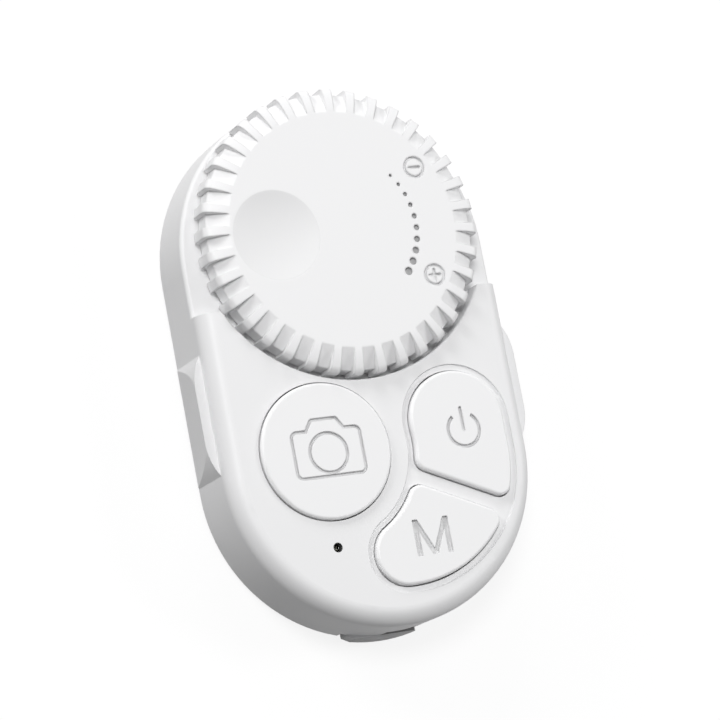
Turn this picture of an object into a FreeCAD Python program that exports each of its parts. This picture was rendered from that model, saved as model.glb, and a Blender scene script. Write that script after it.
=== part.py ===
import FreeCAD, Part
import math
import os

os.makedirs("parts", exist_ok=True)

# Frame: millimetres, the back face lies on z = 0, +Z comes out of the keys,
# +Y runs from the keys towards the dial, and the origin is the middle of the footprint.
# A name that ends in from_dial is a distance below the dial's axis, towards the keys.

# Casing
body_width = 38.0
body_length = 62.9
back_to_shelf = 8.0
panel_rise = 2.3
wall = 1.2
cover_thickness = 1.2
cover_clearance = 0.08
back_edge_round = 0.8
panel_edge_round = 2.0
shelf_edge_round = 0.5
bay_edge_round = 0.2
step_from_dial = 7.8
bay_from_side = 0.65
bay_past_dial = 0.9
bay_land = 0.35

# Ears on the long sides
ear_proud = 1.2
ear_foot_proud = 0.1
ear_start_from_dial = 12.2
ear_end_before_arc = 0.8
ear_taper = 3.9
ear_top_above_shelf = 0.2

# Lanyard bar on the end wall
tab_proud = 0.45
tab_left = 4.8
tab_right = 3.85
tab_chamfer = 2.6
tab_height = 1.9
notch_width = 0.7
lanyard_slot_left = 0.7
lanyard_slot_right = 3.8
lanyard_slot_height = 2.2
lanyard_bar_width = 2.6
lanyard_hole_length = 2.4
well_wall = 0.8
well_clearance = 0.2

# Scroll dial; its axis lies past the centre of the casing's upper end arc
dial_past_centre = 2.2
dial_above_panel = 1.75
dial_side_gap = 0.35
dial_shoulder_width = 3.05
dial_shoulder_start = 0.35
rib_drop = 0.55
rib_mid_out = 0.6
rib_mid_down = 0.4
rib_end_round = 0.9
dial_flutes = 36
flute_turn_degrees = 0.7
rib_share = 0.4
flute_depth = 0.6
floor_drop = 1.45
floor_mid_out = 0.5
floor_mid_down = 0.42
dial_shelf_gap = 0.4
dial_top_wall = 1.4
dial_skirt_thickness = 3.1
dimple_inside_flat = 5.6
dimple_radius = 5.35
dimple_depth = 0.6
hub_radius = 4.93
hub_running_clearance = 0.07
hub_bore_radius = 3.0
hub_below_shelf = 0.8
ring_groove_depth = 0.5
ring_thickness = 0.4
ring_outer_radius = 6.3
ring_clearance = 0.1
ring_mouth = 5.2
glide_inset = 0.2
glide_outset = 1.2
glide_clearance = 0.05
detent_ring_height = 1.2
detent_ring_thickness = 1.4
detent_lift = 0.4
detent_notches = 24
detent_notch_radius = 0.5
detent_spring_thickness = 0.3
detent_spring_height = 1.0
detent_post_radius = 1.0
detent_tip_radius = 0.6
detent_tip_clearance = 0.25
detent_arm_length = 4.0
magnet_height = 1.2
magnet_fit = 0.03

# Marks cut in the dial and the keys
mark_depth = 0.4
dot_count = 10
dots_inside_signs = 3.03
dot_spacing_degrees = 8.73
dot_smallest = 0.37
dot_largest = 0.95
signs_inside_flat = 1.9
sign_degrees = 32.4
sign_circle_radius = 1.17
sign_stroke = 0.32
sign_bar = 1.3
icon_stroke = 0.38
camera_width = 8.5
camera_height = 5.4
camera_shift_x = 0.2
camera_shift_y = -0.25
camera_hump_base = 4.7
camera_hump_top = 3.1
camera_hump_height = 1.25
camera_corner_round = 0.7
camera_hump_round = 0.4
camera_lens_radius = 2.3
power_mark_x = 10.7
power_mark_from_end = 21.3
power_mark_radius = 1.98
power_mark_stroke = 0.4
power_mark_opening_degrees = 36.0
power_mark_bar_top = 2.55
letter_x = 4.25
letter_from_end = 9.5
letter_width = 4.5
letter_height = 4.2
letter_stroke = 0.65

# Keys, laid out for a casing 38 mm wide with this much room between the bay and the end wall
keys_laid_out_width = 38.0
keys_laid_out_room = 28.65
key_proud = 0.5
key_travel = 0.3
key_gap = 0.15
key_edge_round = 0.35
key_flange_width = 0.75
key_flange_thickness = 0.6
key_flange_clearance = 0.05
key_stem_radius = 1.6
key_stem_clearance = 0.02
shutter_x = -6.75
shutter_from_end = 20.8
shutter_radius = 7.95
ring_round_shutter = 3.15
power_x = 10.15
power_from_end = 22.5
mode_end_x = 0.74
mode_end_from_end = 8.0
mode_arc_x = 1.2
mode_arc_from_end = 19.4
divider_x = 8.37
divider_from_end = 14.62
divider_slope_degrees = -25.0
divider_half_gap = 0.91
key_corner_round = 1.4
pocket_margin = 0.85
pocket_depth = 0.22

# Switches and board
plunger_radius = 0.9
plunger_proud = 0.3
plunger_side_clearance = 0.08
plunger_floor = 0.5
switch_size = 4.5
switch_height = 1.6
board_thickness = 0.8
board_top_above_back = 5.2
board_inset = 1.6
board_boss_clearance = 0.4
power_switch_x = 9.75
power_switch_from_end = 21.3
mode_switch_x = 4.2
mode_switch_from_end = 9.3

# Status light
led_x = -7.4
led_from_end = 9.7
led_length = 1.6
led_width = 0.8
led_height = 0.6
pinhole_radius = 0.55
pipe_clearance = 0.05
pipe_recess = 0.95
pipe_flange_radius = 1.3
pipe_flange_thickness = 0.5

# Chips on the board
radio_size = 5.0
radio_height = 0.85
radio_from_dial = 9.5
charger_size = 3.0
charger_height = 0.75
charger_x = -6.5
charger_from_dial = 8.5
crystal_length = 3.2
crystal_width = 2.5
crystal_height = 0.7
crystal_x = 5.8
crystal_from_dial = 9.5
antenna_length = 7.0
antenna_width = 2.0
antenna_height = 1.0
antenna_x = 12.6
antenna_from_dial = 1.0
hall_length = 2.9
hall_width = 1.6
hall_height = 0.65
capacitor_length = 1.0
capacitor_width = 0.5
capacitor_height = 0.5
capacitor_pitch = 1.5
capacitor_count = 5
capacitor_from_dial = 13.4

# Battery
battery_width = 20.0
battery_length = 23.0
battery_height = 2.8
battery_from_end = 21.1
battery_round = 0.8
tape_thickness = 0.2
tape_inset = 1.2
lead_radius = 0.35
lead_bend = 0.9
lead_spacing = 2.4
lead_height = 1.4
lead_reach = 1.4

# Charge socket
socket_width = 8.94
socket_height = 3.16
socket_depth = 7.35
socket_wall = 0.3
socket_back_wall = 1.2
socket_set_back = 0.8
socket_clearance = 0.12
tongue_width = 6.7
tongue_height = 0.7
tongue_depth = 4.6

# Screws
boss_radius = 2.0
pilot_radius = 0.6
pilot_spare = 0.4
lower_boss_clearance = 0.2
top_boss_inset = 3.84
top_boss_degrees = 36.4
low_boss_inset = 2.81
low_boss_degrees = -44.25
screw_radius = 0.57
screw_length = 5.6
screw_head_radius = 1.4
screw_head_height = 0.7
screw_head_clearance = 0.15
screw_head_sunk = 0.15
screw_slot = 0.35
screw_slot_reach = 0.9
post_radius = 1.4
low_post_inset = 5.0
top_post_x = 9.0
top_post_from_dial = 5.0
board_screw_length = 3.6
board_screw_head_height = 0.5

# Worked out from the sizes above
half_width = body_width / 2
footprint_length = body_length + tab_proud
top_y = footprint_length / 2 - half_width
dial_y = top_y + dial_past_centre
end_y = top_y - (body_length - body_width)
end_wall_y = end_y - half_width
end_wall_inside_y = end_wall_y + 2 * wall
dial_bay_radius = half_width - bay_from_side
dial_rim_radius = dial_bay_radius - bay_past_dial - dial_side_gap
dial_flat_radius = dial_rim_radius - dial_shoulder_width
dial_skirt_inner_radius = dial_rim_radius - dial_skirt_thickness
detent_ring_inner_radius = dial_skirt_inner_radius - detent_ring_thickness
sign_radius_from_axis = dial_flat_radius - signs_inside_flat
dot_radius_from_axis = sign_radius_from_axis - dots_inside_signs
dimple_offset = dial_flat_radius - dimple_inside_flat
bay_y = dial_y + bay_past_dial
key_room = bay_y - dial_bay_radius - end_wall_y
key_scale = min(key_room / keys_laid_out_room, body_width / keys_laid_out_width)
key_ring_radius = (shutter_radius + ring_round_shutter) * key_scale
shelf_z = back_to_shelf
shelf_under_z = shelf_z - wall
panel_z = shelf_z + panel_rise
panel_under_z = panel_z - wall
step_y = dial_y - step_from_dial
dial_top_z = panel_z + dial_above_panel
dial_bottom_z = shelf_z + dial_shelf_gap
dial_ceiling_z = dial_top_z - dial_top_wall
hub_bottom_z = shelf_under_z - hub_below_shelf
ring_top_z = shelf_under_z - ring_clearance
ring_bottom_z = ring_top_z - ring_thickness
detent_low_z = dial_bottom_z + detent_lift
board_top_z = board_top_above_back
board_bottom_z = board_top_z - board_thickness
key_top_z = panel_z + key_proud
flange_top_z = panel_under_z - key_flange_clearance
flange_bottom_z = flange_top_z - key_flange_thickness
switch_top_z = board_top_z + switch_height
plunger_top_z = switch_top_z + plunger_proud
stem_bottom_z = plunger_top_z + key_stem_clearance
low_boss_top_z = flange_bottom_z - key_travel - lower_boss_clearance
socket_z = (board_top_z + board_bottom_z) / 2
socket_front_y = top_y + half_width - socket_set_back
socket_inside_back_y = socket_front_y - socket_depth + socket_back_wall
battery_bottom_z = cover_thickness + tape_thickness
slot_top_z = tab_height + lanyard_slot_height
hole_near_y = end_wall_y + lanyard_bar_width
hole_far_y = hole_near_y + lanyard_hole_length

# Key outlines are arcs about these points
origin = FreeCAD.Vector(0, 0, 0)
upward = FreeCAD.Vector(0, 0, 1)
dial_axis = FreeCAD.Vector(0, dial_y, 0)
bay_axis = FreeCAD.Vector(0, bay_y, 0)
top_centre = FreeCAD.Vector(0, top_y, 0)
low_centre = FreeCAD.Vector(0, end_y, 0)


def at(x, from_dial):
    """A point in plan, given by its distance below the dial's axis."""
    return FreeCAD.Vector(x, dial_y - from_dial, 0)


def among_keys(x, from_end):
    """A point in plan among the keys, whose layout shrinks about the end wall to fit."""
    return FreeCAD.Vector(x * key_scale, end_wall_y + from_end * key_scale, 0)


def on_circle(centre, radius, degrees):
    angle = math.radians(degrees)
    return centre + FreeCAD.Vector(radius * math.cos(angle), radius * math.sin(angle), 0)


def mirrored_pair(centre, radius, degrees):
    """Two places on a circle, left and right of its upright axis."""
    return [on_circle(centre, radius, 180 - degrees), on_circle(centre, radius, degrees)]


shutter_centre = among_keys(shutter_x, shutter_from_end)
power_centre = among_keys(power_x, power_from_end)
mode_end_centre = among_keys(mode_end_x, mode_end_from_end)
mode_arc_centre = among_keys(mode_arc_x, mode_arc_from_end)
divider_point = among_keys(divider_x, divider_from_end)
key_low_centre = among_keys(0, keys_laid_out_width / 2)
divider_along = on_circle(origin, 1, divider_slope_degrees)
divider_normal = FreeCAD.Vector(-divider_along.y, divider_along.x, 0)
power_radius = (power_centre - shutter_centre).Length - key_ring_radius
power_side_x = power_centre.x + power_radius
mode_end_radius = (mode_end_centre - shutter_centre).Length - key_ring_radius
mode_arc_radius = (mode_end_centre - mode_arc_centre).Length + mode_end_radius
power_switch_centre = among_keys(power_switch_x, power_switch_from_end)
mode_switch_centre = among_keys(mode_switch_x, mode_switch_from_end)
led_centre = among_keys(led_x, led_from_end)
battery_centre = FreeCAD.Vector(0, end_wall_y + battery_from_end, 0)

top_boss_places = mirrored_pair(top_centre, half_width - top_boss_inset, top_boss_degrees)
low_boss_places = mirrored_pair(low_centre, half_width - low_boss_inset, low_boss_degrees)
boss_places = top_boss_places + low_boss_places
low_post_places = mirrored_pair(low_centre, half_width - low_post_inset, 0)
top_post_places = [at(sign * top_post_x, top_post_from_dial) for sign in (-1, 1)]


def rod(place, radius, z0, z1):
    """An upright cylinder."""
    return Part.makeCylinder(radius, z1 - z0, FreeCAD.Vector(place.x, place.y, z0))


def tube(place, inner, outer, z0, z1):
    return rod(place, outer, z0, z1).cut(rod(place, inner, z0, z1))


def block(x0, x1, y0, y1, z0, z1):
    return Part.makeBox(x1 - x0, y1 - y0, z1 - z0, FreeCAD.Vector(x0, y0, z0))


def centred_block(place, length_x, length_y, z0, z1):
    left = place.x - length_x / 2
    low = place.y - length_y / 2
    return block(left, left + length_x, low, low + length_y, z0, z1)


def line_edge(start, end):
    return Part.LineSegment(start, end).toShape()


def heading(start, end):
    return math.degrees(math.atan2(end.y - start.y, end.x - start.x))


def arc_edge(centre, radius, start, end, turn):
    """The arc from start to end about centre; turn is +1 anticlockwise, -1 clockwise."""
    first = heading(centre, start)
    sweep = (heading(centre, end) - first) * turn % 360
    middle = on_circle(centre, radius, first + turn * sweep / 2)
    return Part.Arc(start, middle, end).toShape()


def prism(edges, z0, z1):
    """The solid between two heights over a closed outline drawn on z = 0."""
    solid = Part.Face(Part.Wire(edges)).extrude(upward * (z1 - z0))
    solid.translate(upward * z0)
    return solid


def polygon(corners, z0, z1):
    """The solid over straight sides through the corners, given as (x, y) pairs."""
    points = [FreeCAD.Vector(x, y, 0) for x, y in corners]
    following = points[1:] + points[:1]
    return prism([line_edge(a, b) for a, b in zip(points, following)], z0, z1)


def capsule(inset, z0, z1):
    """The casing's outline, set in by a distance, as a solid."""
    radius = half_width - inset
    top_right = on_circle(top_centre, radius, 0)
    top_left = on_circle(top_centre, radius, 180)
    low_left = on_circle(low_centre, radius, 180)
    low_right = on_circle(low_centre, radius, 0)
    edges = [
        arc_edge(top_centre, radius, top_right, top_left, 1),
        line_edge(top_left, low_left),
        arc_edge(low_centre, radius, low_left, low_right, 1),
        line_edge(low_right, top_right),
    ]
    return prism(edges, z0, z1)


def edges_at_height(solid, z):
    """Every edge that lies wholly at one height."""
    picked = []
    for edge in solid.Edges:
        heights = [point.z for point in edge.discretize(5)]
        if max(abs(height - z) for height in heights) < 1e-5:
            picked.append(edge)
    return picked


def round_uprights(solid, corners, radius):
    """Round the upright edges that stand at the given corners."""
    picked = []
    for edge in solid.Edges:
        first = edge.Vertexes[0].Point
        last = edge.Vertexes[-1].Point
        if math.hypot(first.x - last.x, first.y - last.y) > 1e-5:
            continue
        if min(math.hypot(first.x - corner.x, first.y - corner.y) for corner in corners) < 1e-3:
            picked.append(edge)
    return solid.makeFillet(radius, picked)


def towards(start, end, distance):
    return start + (end - start) * (distance / (end - start).Length)


def circle_meets_line(centre, radius, point, direction):
    """Where a line leaves a circle, on the far side along its direction."""
    offset = point - centre
    along = offset.dot(direction)
    root = math.sqrt(along * along - offset.dot(offset) + radius * radius)
    return point + direction * (root - along)


def circles_meet(centre_a, radius_a, centre_b, radius_b):
    """The crossing of two circles that lies to the right of the way from a to b."""
    between = centre_b - centre_a
    distance = between.Length
    unit = between * (1 / distance)
    along = (distance ** 2 + radius_a ** 2 - radius_b ** 2) / (2 * distance)
    across = math.sqrt(radius_a ** 2 - along ** 2)
    return centre_a + unit * along + FreeCAD.Vector(unit.y, -unit.x, 0) * across


def power_outline(grow, z0, z1):
    """The power key, grown evenly in plan: a round top, a straight side and a slanted foot."""
    ring = key_ring_radius - grow
    side = power_side_x + grow
    line = divider_point + divider_normal * (divider_half_gap - grow)
    ring_top = towards(shutter_centre, power_centre, ring)
    crown = FreeCAD.Vector(side, power_centre.y, 0)
    side_end = FreeCAD.Vector(side, key_low_centre.y, 0)
    right = circle_meets_line(key_low_centre, side, line, divider_along)
    left = circle_meets_line(shutter_centre, ring, line, divider_along)
    edges = [
        arc_edge(power_centre, power_radius + grow, ring_top, crown, -1),
        line_edge(crown, side_end),
        arc_edge(key_low_centre, side, side_end, right, -1),
        line_edge(right, left),
        arc_edge(shutter_centre, ring, left, ring_top, 1),
    ]
    return round_uprights(prism(edges, z0, z1), (right, left), key_corner_round + grow)


def mode_outline(grow, z0, z1):
    """The mode key, grown evenly in plan: a bean that follows the shutter and the case."""
    ring = key_ring_radius - grow
    low = mode_arc_radius + grow
    line = divider_point - divider_normal * (divider_half_gap - grow)
    left = circle_meets_line(shutter_centre, ring, line, divider_along)
    right = circle_meets_line(mode_arc_centre, low, line, divider_along)
    ring_end = towards(shutter_centre, mode_end_centre, ring)
    low_end = towards(mode_arc_centre, mode_end_centre, low)
    edges = [
        arc_edge(shutter_centre, ring, left, ring_end, -1),
        arc_edge(mode_end_centre, mode_end_radius + grow, ring_end, low_end, 1),
        arc_edge(mode_arc_centre, low, low_end, right, 1),
        line_edge(right, left),
    ]
    return round_uprights(prism(edges, z0, z1), (right, left), key_corner_round + grow)


def shutter_outline(grow, z0, z1):
    return rod(shutter_centre, shutter_radius * key_scale + grow, z0, z1)


def pocket(z0, z1):
    """The shallow pocket round the power and mode keys."""
    ring = key_ring_radius - pocket_margin
    side = power_side_x + pocket_margin
    end = mode_end_radius + pocket_margin
    low = mode_arc_radius + pocket_margin
    ring_top = towards(shutter_centre, power_centre, ring)
    crown = FreeCAD.Vector(side, power_centre.y, 0)
    side_end = FreeCAD.Vector(side, key_low_centre.y, 0)
    corner = circles_meet(key_low_centre, side, mode_arc_centre, low)
    low_end = towards(mode_arc_centre, mode_end_centre, low)
    ring_end = towards(shutter_centre, mode_end_centre, ring)
    edges = [
        arc_edge(power_centre, power_radius + pocket_margin, ring_top, crown, -1),
        line_edge(crown, side_end),
        arc_edge(key_low_centre, side, side_end, corner, -1),
        arc_edge(mode_arc_centre, low, corner, low_end, -1),
        arc_edge(mode_end_centre, end, low_end, ring_end, -1),
        arc_edge(shutter_centre, ring, ring_end, ring_top, 1),
    ]
    return prism(edges, z0, z1)


def ear(side):
    """One ear: a flat topped bump that slants in towards its foot, with ends that run out in arcs."""
    inner = side * (half_width - wall / 2)
    wall_x = side * half_width
    outer = side * (half_width + ear_proud)
    y_start = dial_y - ear_start_from_dial
    y_end = end_y + ear_end_before_arc
    taper_radius = (ear_proud ** 2 + ear_taper ** 2) / (2 * ear_proud)
    upper = FreeCAD.Vector(outer, y_start - ear_taper, 0)
    lower = FreeCAD.Vector(outer, y_end + ear_taper, 0)
    inward = FreeCAD.Vector(-side * taper_radius, 0, 0)
    root_start = FreeCAD.Vector(wall_x, y_start, 0)
    root_end = FreeCAD.Vector(wall_x, y_end, 0)
    inner_start = FreeCAD.Vector(inner, y_start, 0)
    inner_end = FreeCAD.Vector(inner, y_end, 0)
    edges = [
        arc_edge(upper + inward, taper_radius, root_start, upper, -side),
        line_edge(upper, lower),
        arc_edge(lower + inward, taper_radius, lower, root_end, -side),
        line_edge(root_end, inner_end),
        line_edge(inner_end, inner_start),
        line_edge(inner_start, root_start),
    ]
    top = shelf_z + ear_top_above_shelf
    foot = wall_x + side * ear_foot_proud
    far = outer + side * ear_proud
    slant = [(foot, back_edge_round), (outer, top), (far, top), (far, back_edge_round)]
    points = [FreeCAD.Vector(x, y_end, z) for x, z in slant]
    sides = [line_edge(a, b) for a, b in zip(points, points[1:] + points[:1])]
    outside = Part.Face(Part.Wire(sides)).extrude(FreeCAD.Vector(0, y_start - y_end, 0))
    return prism(edges, back_edge_round, top).cut(outside)


def key_panel():
    """The raised half of the front, with the dial's round bay cut from it."""
    solid = capsule(0, shelf_under_z, panel_z)
    solid = solid.makeFillet(panel_edge_round, edges_at_height(solid, panel_z))
    solid = solid.cut(block(-half_width, half_width, step_y, dial_y + half_width, 0, panel_z))
    solid = solid.cut(rod(bay_axis, dial_bay_radius, shelf_z, panel_z))
    rim_centre = bay_axis + upward * panel_z
    bay_edges = []
    for edge in edges_at_height(solid, panel_z):
        if abs((edge.discretize(3)[1] - rim_centre).Length - dial_bay_radius) < 1e-3:
            bay_edges.append(edge)
    return solid.makeFillet(bay_edge_round, bay_edges)


def key_space():
    """The hollow under the raised half, with room for the shutter's flange beside the bay."""
    solid = capsule(wall, shelf_under_z, panel_under_z)
    solid = solid.cut(block(-half_width, half_width, step_y - wall, dial_y + half_width, 0, panel_z))
    solid = solid.cut(rod(bay_axis, dial_bay_radius + wall, 0, panel_z))
    room = shutter_outline(key_flange_width + key_gap, shelf_under_z, panel_under_z)
    return solid.fuse(room.cut(rod(bay_axis, dial_bay_radius + bay_land, 0, panel_z)))


def socket_mouth(grow):
    """The charge socket's rounded outline, run out through the end wall."""
    radius = socket_height / 2 + grow
    reach = (socket_width - socket_height) / 2
    back_y = socket_front_y - socket_depth
    length = socket_depth + socket_set_back + wall
    solid = block(-reach, reach, back_y, back_y + length, socket_z - radius, socket_z + radius)
    for x in (-reach, reach):
        start = FreeCAD.Vector(x, back_y, socket_z)
        solid = solid.fuse(Part.makeCylinder(radius, length, start, FreeCAD.Vector(0, 1, 0)))
    return solid.removeSplitter()


def front_housing():
    """One moulding: the wall, the shelf under the dial, the key panel, ears and screw bosses."""
    solid = capsule(0, 0, shelf_z)
    solid = solid.makeFillet(shelf_edge_round, edges_at_height(solid, shelf_z))
    solid = solid.makeFillet(back_edge_round, edges_at_height(solid, 0))
    solid = solid.fuse(key_panel())
    for side in (-1, 1):
        solid = solid.fuse(ear(side))
    solid = solid.cut(capsule(wall, 0, shelf_under_z))
    solid = solid.cut(key_space())
    for place in top_boss_places:
        solid = solid.fuse(rod(place, boss_radius, cover_thickness, shelf_under_z))
    for place in low_boss_places:
        boss = rod(place, boss_radius, cover_thickness, low_boss_top_z)
        solid = solid.fuse(boss.common(capsule(wall / 2, 0, panel_z)))
    pilot_top = screw_head_sunk + screw_length + pilot_spare
    for place in boss_places:
        solid = solid.cut(rod(place, pilot_radius, 0, pilot_top))
    solid = solid.cut(rod(dial_axis, hub_radius + hub_running_clearance, shelf_under_z, shelf_z))
    solid = solid.cut(shutter_outline(key_gap, panel_under_z, panel_z))
    solid = solid.cut(pocket(panel_z - pocket_depth, panel_z))
    solid = solid.cut(power_outline(key_gap, panel_under_z, panel_z))
    solid = solid.cut(mode_outline(key_gap, panel_under_z, panel_z))
    solid = solid.cut(rod(led_centre, pinhole_radius, panel_under_z, panel_z))
    solid = solid.cut(socket_mouth(socket_clearance))
    recess_left = -tab_left - notch_width
    recess_right = tab_right + cover_clearance
    solid = solid.cut(block(recess_left, recess_right, end_wall_y, end_wall_inside_y, 0, tab_height))
    slot = block(-lanyard_slot_left, lanyard_slot_right, end_wall_y, end_wall_inside_y, 0, slot_top_z)
    return solid.cut(slot).removeSplitter()


def end_tab():
    """The bar's outer face: a band that follows the end wall, slanted at its left end."""
    band = rod(low_centre, half_width + tab_proud, 0, tab_height)
    far = end_wall_y - 2 * tab_proud
    corners = [
        (-tab_left, end_wall_inside_y),
        (-tab_left, end_wall_y + tab_proud),
        (-tab_left + tab_chamfer, far),
        (tab_right, far),
        (tab_right, end_wall_inside_y),
    ]
    return band.common(polygon(corners, 0, tab_height))


def lanyard_well():
    """Low walls round the lanyard's way through the casing."""
    left = -lanyard_slot_left - well_wall
    right = lanyard_slot_right + well_wall
    top = board_bottom_z - well_clearance
    solid = block(left, right, end_wall_y, hole_far_y + well_wall, cover_thickness / 2, top)
    return solid.common(capsule(wall + cover_clearance, 0, top))


def rear_cover():
    """The inset back plate with screw holes, board posts and the lanyard bar."""
    solid = capsule(wall + cover_clearance, 0, cover_thickness)
    solid = solid.fuse([end_tab(), lanyard_well()])
    well_top = board_bottom_z - well_clearance
    way_in = block(-lanyard_slot_left, lanyard_slot_right, end_wall_y, hole_far_y, tab_height, well_top)
    hole = block(-lanyard_slot_left, lanyard_slot_right, hole_near_y, hole_far_y, 0, tab_height)
    solid = solid.cut([way_in, hole])
    for place in boss_places:
        head_room = screw_head_sunk + screw_head_height
        solid = solid.cut(rod(place, screw_head_radius + screw_head_clearance, 0, head_room))
        solid = solid.cut(rod(place, screw_radius + screw_head_clearance, 0, cover_thickness))
    for place in low_post_places + top_post_places:
        solid = solid.fuse(rod(place, post_radius, cover_thickness / 2, board_bottom_z))
    for place in low_post_places:
        solid = solid.cut(rod(place, pilot_radius, cover_thickness, board_bottom_z))
    return solid.removeSplitter()


def groove(start, end, width, z0, z1):
    """The cutter of a straight mark with round ends."""
    bar = Part.makeBox((end - start).Length, width, z1 - z0, FreeCAD.Vector(0, -width / 2, z0))
    bar.rotate(origin, upward, heading(start, end))
    bar.translate(start)
    return bar.fuse([rod(start, width / 2, z0, z1), rod(end, width / 2, z0, z1)])


def ring_groove(centre, radius, width, z0, z1):
    return tube(centre, radius - width / 2, radius + width / 2, z0, z1)


def dial_marks():
    """A plus and a minus in circles, and a row of dots that grow from one to the other."""
    z0 = dial_top_z - mark_depth
    z1 = dial_top_z
    cutters = []
    for index in range(dot_count):
        degrees = (dot_count - 1 - 2 * index) / 2 * dot_spacing_degrees
        size = dot_smallest + (dot_largest - dot_smallest) * index / (dot_count - 1)
        cutters.append(rod(on_circle(dial_axis, dot_radius_from_axis, degrees), size / 2, z0, z1))
    across = FreeCAD.Vector(sign_bar / 2, 0, 0)
    along = FreeCAD.Vector(0, sign_bar / 2, 0)
    plus = on_circle(dial_axis, sign_radius_from_axis, -sign_degrees)
    minus = on_circle(dial_axis, sign_radius_from_axis, sign_degrees)
    for centre in (plus, minus):
        cutters.append(ring_groove(centre, sign_circle_radius, sign_stroke, z0, z1))
        cutters.append(groove(centre - across, centre + across, sign_stroke, z0, z1))
    cutters.append(groove(plus - along, plus + along, sign_stroke, z0, z1))
    return cutters


def camera_shape(centre, grow, z0, z1):
    """A camera's outline with soft corners, grown evenly in plan."""
    x = camera_width / 2 + grow
    y = camera_height / 2 + grow
    slant = math.atan2(camera_hump_height, (camera_hump_base - camera_hump_top) / 2)
    hump_low = camera_hump_base / 2 + grow * math.tan(slant / 2)
    hump_high = camera_hump_top / 2 + grow * math.tan(slant / 2)
    body = [
        FreeCAD.Vector(centre.x + side_x * x, centre.y + side_y * y, 0)
        for side_x, side_y in ((-1, -1), (1, -1), (1, 1), (-1, 1))
    ]
    hump_top = centre.y + y + camera_hump_height
    hump = [
        FreeCAD.Vector(centre.x - hump_low, centre.y + y, 0),
        FreeCAD.Vector(centre.x + hump_low, centre.y + y, 0),
        FreeCAD.Vector(centre.x + hump_high, hump_top, 0),
        FreeCAD.Vector(centre.x - hump_high, hump_top, 0),
    ]
    box = polygon([(corner.x, corner.y) for corner in body], z0, z1)
    box = round_uprights(box, body, camera_corner_round + grow)
    top = polygon([(corner.x, corner.y) for corner in hump], z0, z1)
    top = round_uprights(top, hump[2:], camera_hump_round + grow)
    return box.fuse(top)


def camera_marks():
    """A camera in outline, as a shutter key carries."""
    z0 = key_top_z - mark_depth
    z1 = key_top_z
    centre = shutter_centre + FreeCAD.Vector(camera_shift_x, camera_shift_y, 0)
    edge = icon_stroke / 2
    outline = camera_shape(centre, edge, z0, z1).cut(camera_shape(centre, -edge, z0, z1))
    return [outline, ring_groove(centre, camera_lens_radius, icon_stroke, z0, z1)]


def power_marks():
    """The usual standby sign: a ring open at its top, with a bar in the opening."""
    z0 = key_top_z - mark_depth
    z1 = key_top_z
    centre = among_keys(power_mark_x, power_mark_from_end)
    reach = 2 * power_mark_radius
    left = on_circle(centre, reach, 90 + power_mark_opening_degrees)
    right = on_circle(centre, reach, 90 - power_mark_opening_degrees)
    opening = polygon([(centre.x, centre.y), (right.x, right.y), (left.x, left.y)], z0, z1)
    ring = ring_groove(centre, power_mark_radius, power_mark_stroke, z0, z1).cut(opening)
    top = centre + FreeCAD.Vector(0, power_mark_bar_top, 0)
    return [ring, groove(centre, top, power_mark_stroke, z0, z1)]


def letter_marks():
    """A plain capital M for the mode key, from two uprights and two slanted strokes."""
    z0 = key_top_z - mark_depth
    z1 = key_top_z
    centre = among_keys(letter_x, letter_from_end)
    half = letter_width / 2
    low = centre.y - letter_height / 2
    high = centre.y + letter_height / 2
    cutters = []
    for side in (-1, 1):
        outer = centre.x + side * half
        inner = outer - side * letter_stroke
        cutters.append(block(min(outer, inner), max(outer, inner), low, high, z0, z1))
        foot = centre.x + side * letter_stroke / 2
        corners = [(outer, high), (inner, high), (2 * centre.x - foot, low), (foot, low)]
        cutters.append(polygon(corners, z0, z1))
    return cutters


def dial_body(rim, flat, drop, mid_out, mid_down):
    """A turned dial: flat top, a shoulder through a middle point, and a straight rim."""
    middle = FreeCAD.Vector(flat + mid_out * (rim - flat), 0, dial_top_z - mid_down * drop)
    foot = FreeCAD.Vector(rim, 0, dial_bottom_z)
    rim_top = FreeCAD.Vector(rim, 0, dial_top_z - drop)
    shoulder = FreeCAD.Vector(flat, 0, dial_top_z)
    crown = FreeCAD.Vector(0, 0, dial_top_z)
    base = FreeCAD.Vector(0, 0, dial_bottom_z)
    edges = [
        line_edge(base, foot),
        line_edge(foot, rim_top),
        Part.Arc(rim_top, middle, shoulder).toShape(),
        line_edge(shoulder, crown),
        line_edge(crown, base),
    ]
    solid = Part.Face(Part.Wire(edges)).revolve(origin, upward, 360)
    solid.translate(dial_axis)
    return solid


def flute_wedges():
    """The gaps between the ribs, as wedges in plan round the dial's rim."""
    pitch = 360 / dial_flutes
    half = pitch * (1 - rib_share) / 2
    inner = dial_flat_radius - flute_depth
    outer = dial_rim_radius + flute_depth
    wedges = []
    for index in range(dial_flutes):
        turn = index * pitch + flute_turn_degrees
        spots = [(inner, turn - half), (outer, turn - half), (outer, turn + half), (inner, turn + half)]
        points = [on_circle(dial_axis, radius, degrees) for radius, degrees in spots]
        corners = [(point.x, point.y) for point in points]
        wedges.append(polygon(corners, dial_bottom_z, dial_top_z + flute_depth))
    return Part.makeCompound(wedges)


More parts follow.
